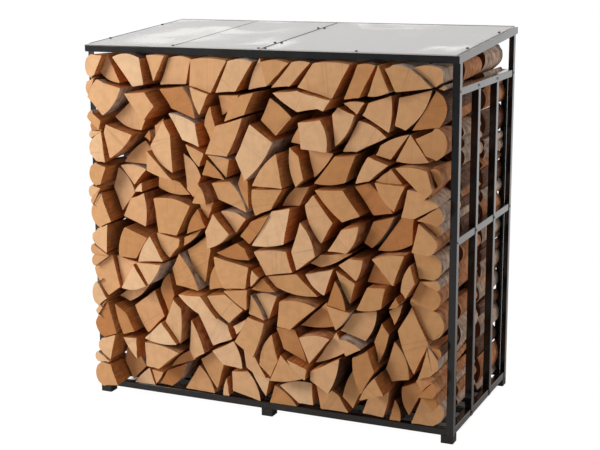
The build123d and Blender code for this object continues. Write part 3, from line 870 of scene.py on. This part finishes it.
def log_tones(corners, at_edge, row, chance):
    """Three tones from 0 to 1 for each ring of each log, as an array (logs, rings, 3).

    Pale first tone = OUTER_FROM + (1 - OUTER_FROM) * chance * (1 - painted shade to the right).
    In the rows behind, all rings but the last get a dark first tone instead, a painted shade.
    Third tone = chance to a power at the edges, and FEWER_BIRCH + (1 - FEWER_BIRCH) * chance elsewhere.
    """
    tone = chance.uniform(0, 1, (len(corners), 3))
    inside_bark = FEWER_BIRCH + (1 - FEWER_BIRCH) * tone[:, 2]
    tone[:, 2] = np.where(at_edge, tone[:, 2] ** EDGE_BARK[row], inside_bark)
    # painted shade for the front ends of the rows behind
    dark = np.where(at_edge, SHADED_END_AT_EDGE, SHADED_END_FROM + tone[:, 0] * SHADED_END_SPAN)[:, None]
    # painted shade that grows to the right
    to_right = (corners[:, :, 0].mean(axis=1) - SHADED_RIGHT_FROM) / (SHADED_RIGHT_TO - SHADED_RIGHT_FROM)
    right_shade = RIGHT_SHADE_SHARE * np.clip(to_right, 0, 1)
    tones = np.repeat(tone[:, None], RINGS, axis=1)
    tones[:, :, 0] = OUTER_FROM + (1 - OUTER_FROM) * tones[:, :, 0] * (1 - right_shade)[:, None]
    if row != "front":
        tones[:, :-1, 0] = dark
    return tones


# %% [markdown]
# A row is one mesh, so the whole stack is three pieces. Each one hides the prisms that it stands for.

# %% Make the rows
def row_of_logs(row, number):
    """One row of logs as one mesh, which replaces the row's prisms."""
    chance = np.random.default_rng(SEED + number)
    prisms = prisms_of(f"{row}_row_logs")
    corners = np.stack([outline(prism, chance) for prism in prisms])
    front = np.array([prism[:, 1].min() for prism in prisms])
    back = np.array([prism[:, 1].max() for prism in prisms])
    at_edge = np.abs(corners[:, :, 0]).max(axis=1) > EDGE_OF_STACK
    corners = filled_up(corners, row)
    if row == "front":
        forward = np.where(corners[:, :, 0].min(axis=1) < -EDGE_OF_STACK, front - front.min(), 0)
        forward = np.maximum(forward - chance.uniform(0, LEFT_SCATTER, len(prisms)), 0)
        front, back = front - forward, back - forward
    if row == "back":
        back = np.where(at_edge & clear_of_rails(corners), BACK_WALL - BAR_CLEARANCE, back)
    corners = loosened(corners, at_edge, row, chance)
    surfaces, pith = log_surfaces(corners, front, back, at_edge, row, chance)
    count = len(prisms)
    mesh = put_mesh(f"{row}_row_firewood", surfaces.reshape(-1, 3), *tube_faces(count, RINGS, POINTS))
    finish = log_finishes(np.abs(surfaces[:, RINGS // 2, :, 0]), at_edge)
    for material in WOOD:
        mesh.materials.append(material)
    mesh.polygons.foreach_set("material_index", finish.astype(np.int32))
    mesh.polygons.foreach_set("use_smooth", finish != END)
    mesh.set_sharp_from_angle(angle=SMOOTH_BELOW)
    from_pith = surfaces - np.stack((pith[:, 0], 0 * pith[:, 0], pith[:, 1]), axis=1)[:, None, None]
    put_attribute(mesh, "pith", from_pith)
    put_attribute(mesh, "tone", np.repeat(log_tones(corners, at_edge, row, chance), POINTS, axis=1))
    piece = put_piece(f"{row}_row_firewood", mesh)
    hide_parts(f"{row}_row_logs")
    print(row, "row:", count, "logs,", len(mesh.polygons), "faces")


for number, row in enumerate(ROWS):
    row_of_logs(row, number)

# %% [markdown]
# ## Screws of the roof
# Pan-head screws hold the sheets down along the frame: two at each side, pairs beside the joint, and
# some along the front and back. A head is a profile turned about its axis. The heads are worked
# out all at once: place + across * radius * cosine + along * radius * sine + out * height. A last
# ring inside the top makes the recess for the driver. At the back the roof is at its highest, so
# there the heads are as flat as the model's box asks.

# %% Heads turned from a profile
HEAD = ((0.96, 0.0), (1.0, 0.25), (0.90, 0.62), (0.66, 0.90), (0.36, 1.0), (0.30, 0.55))
HEAD_POINTS = 12


def heads(name, places, across, along, radius, heights):
    """Round steel heads at many places, as one piece, which stand towards along x across."""
    places, heights = np.array(places), np.array(heights)
    turns = np.arange(HEAD_POINTS) * 2 * pi / HEAD_POINTS
    out = np.cross(along, across)
    shares, rises = np.array(HEAD).T
    circle = np.cos(turns)[:, None] * np.array(across) + np.sin(turns)[:, None] * np.array(along)
    flat = radius * shares[:, None, None] * circle
    high = heights[:, None, None, None] * rises[:, None, None] * out
    points = places[:, None, None] + flat + high
    mesh = put_mesh(name, points.reshape(-1, 3), *tube_faces(len(places), len(HEAD), HEAD_POINTS))
    mesh.materials.append(steel)
    mesh.polygons.foreach_set("use_smooth", np.ones(len(mesh.polygons), bool))
    mesh.set_sharp_from_angle(angle=SMOOTH_BELOW)
    put_piece(name, mesh)
    print(name, len(places), "heads,", len(mesh.polygons), "faces")


# %% [markdown]
# A place on the roof is given across it and up its slope, as a roofer measures it, and is then turned
# into the frame of the model. Left and right are the same, so each place is used twice.

# %% Roof screws
EAVES = (1346 * MM, 1396 * MM)  # height of the roof frame at its front and back edge
SHEET = 4 * MM
ROOF_FRONT, ROOF_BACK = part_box("roof_left_rail")[0][1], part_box("roof_left_rail")[1][1]
ROOF_PITCH = atan2(EAVES[1] - EAVES[0], ROOF_BACK - ROOF_FRONT)
ACROSS_ROOF = np.array((1, 0, 0))
UP_ROOF = np.array((0, cos(ROOF_PITCH), sin(ROOF_PITCH)))
OFF_ROOF = np.array((0, -sin(ROOF_PITCH), cos(ROOF_PITCH)))
ROOF_LENGTH = (ROOF_BACK - ROOF_FRONT) / cos(ROOF_PITCH)
SCREW_SIDE, SCREW_JOINT, SCREW_PANEL = 698 * MM, 13 * MM, 352 * MM  # from the middle of the roof
SCREW_FRONT, SCREW_NEAR, SCREW_FAR = 13 * MM, 150 * MM, 545 * MM  # up the roof from its front edge
SCREW_RADIUS, SCREW_HEIGHT = 5.5 * MM, 3.6 * MM


def on_roof(x, up):
    """Place on top of the sheets at x: front edge + up * the slope + the sheet's thickness * off it."""
    return np.array((x, ROOF_FRONT, EAVES[0])) + up * UP_ROOF + SHEET * OFF_ROOF


def room_above(place):
    """How far a head may rise before it leaves the box of the solids."""
    return (cad_box[1][2] - place[2] - SCREW_RADIUS * sin(ROOF_PITCH)) / cos(ROOF_PITCH) - 0.1 * MM


screw_places = [on_roof(side * x, up) for side in (-1, 1) for x, up in (
    (SCREW_SIDE, SCREW_NEAR), (SCREW_SIDE, SCREW_FAR), (SCREW_JOINT, SCREW_NEAR), (SCREW_JOINT, SCREW_FAR),
    (SCREW_JOINT, SCREW_FRONT), (SCREW_PANEL, SCREW_FRONT),
    (SCREW_JOINT, ROOF_LENGTH - SCREW_FRONT), (SCREW_PANEL, ROOF_LENGTH - SCREW_FRONT))]
heads("roof_screws", screw_places, UP_ROOF, ACROSS_ROOF, SCREW_RADIUS,
      [min(SCREW_HEIGHT, room_above(place)) for place in screw_places])

# %% [markdown]
# A dark cover strip closes the joint between the two sheets. A thin dark strip also runs up the
# left sheet, as far from the middle as the screws beside it. Two narrow strips of trim run along the
# left and the back edge. Each is a rectangle carried along a line, with its faces numbered as a
# log's are.

# %% Strips on the roof
STRIP_HIGH = 0.7 * MM
STRIP_ENDS = (12 * MM, 719 * MM)  # up the roof from its front edge
COVER, TRIM = (0.0, 5 * MM), (-703 * MM, 3 * MM)  # middle and width
LEFT_SHEET_LINE = (-SCREW_PANEL, 1.6 * MM)


def strips(name, lines):
    """Flat strips as one piece: place = end + a * side + b * rise, with a and b from 0 to 1.

    Each line has its two ends, its side and its rise, and side x rise points back along it.
    """
    points = [end + a * side + b * rise for first, last, side, rise in lines
              for end in (first, last) for a, b in ((0, 0), (1, 0), (1, 1), (0, 1))]
    mesh = put_mesh(name, np.array(points), *tube_faces(len(lines), 2, 4))
    mesh.materials.append(plastic)
    put_piece(name, mesh)
    print(name, len(lines), "strips")


up_the_roof = [(on_roof(x - wide / 2, STRIP_ENDS[0]), on_roof(x - wide / 2, STRIP_ENDS[1]),
                wide * ACROSS_ROOF, STRIP_HIGH * OFF_ROOF) for x, wide in (COVER, TRIM, LEFT_SHEET_LINE)]
along_the_back = (on_roof(TRIM[0], STRIP_ENDS[1] - TRIM[1]), on_roof(-TRIM[0], STRIP_ENDS[1] - TRIM[1]),
                  STRIP_HIGH * OFF_ROOF, TRIM[1] * UP_ROOF)
strips("roof_strips", [*up_the_roof, along_the_back])

# %% [markdown]
# ## Bolts of the frame
# The angles are held by small dome-head bolts wherever a rail crosses a post or an upright bar. Their
# heads lie on the outer flange of the upright, at the middle of the rail. At the sides they stay
# within the 2 mm that the roof stands out past the posts, and are flatter there than at the back.

# %% Frame bolts
BOLT_RADIUS = 5.5 * MM
BOLT_AT_SIDE, BOLT_AT_BACK = 1.8 * MM, 2.6 * MM  # height of a head


def middle_of(node, axis):
    """Middle of a node's box along one axis."""
    return (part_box(node)[0][axis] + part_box(node)[1][axis]) / 2


RAIL_HEIGHTS = [middle_of(f"left_{rail}_rail", 2) for rail in ("middle", "upper")]
BOTTOM_HEIGHT = middle_of("left_bottom_rail", 2)
POST_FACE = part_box("front_right_post")[1][0]

for side, sign in (("left", -1), ("right", 1)):
    posts = [middle_of(f"{end}_{side}_post", 1) for end in ("front", "back")]
    bars = [middle_of(f"{side}_side_bar_{n}", 1) for n in (1, 2)]
    places = [(sign * POST_FACE, y, z) for z in RAIL_HEIGHTS for y in posts + bars]
    places += [(sign * POST_FACE, y, BOTTOM_HEIGHT) for y in bars]
    heads(f"{side}_bolts", places, (0, 0, 1), (0, sign, 0), BOLT_RADIUS, [BOLT_AT_SIDE] * len(places))

back_bars = [(bar[:, 0].min() + bar[:, 0].max()) / 2 for bar in prisms_of("back_bars")]
places = [(x, BACK_WALL, z) for z in (BOTTOM_HEIGHT, *RAIL_HEIGHTS) for x in back_bars]
heads("back_bolts", places, (1, 0, 0), (0, 0, 1), BOLT_RADIUS, [BOLT_AT_BACK] * len(places))
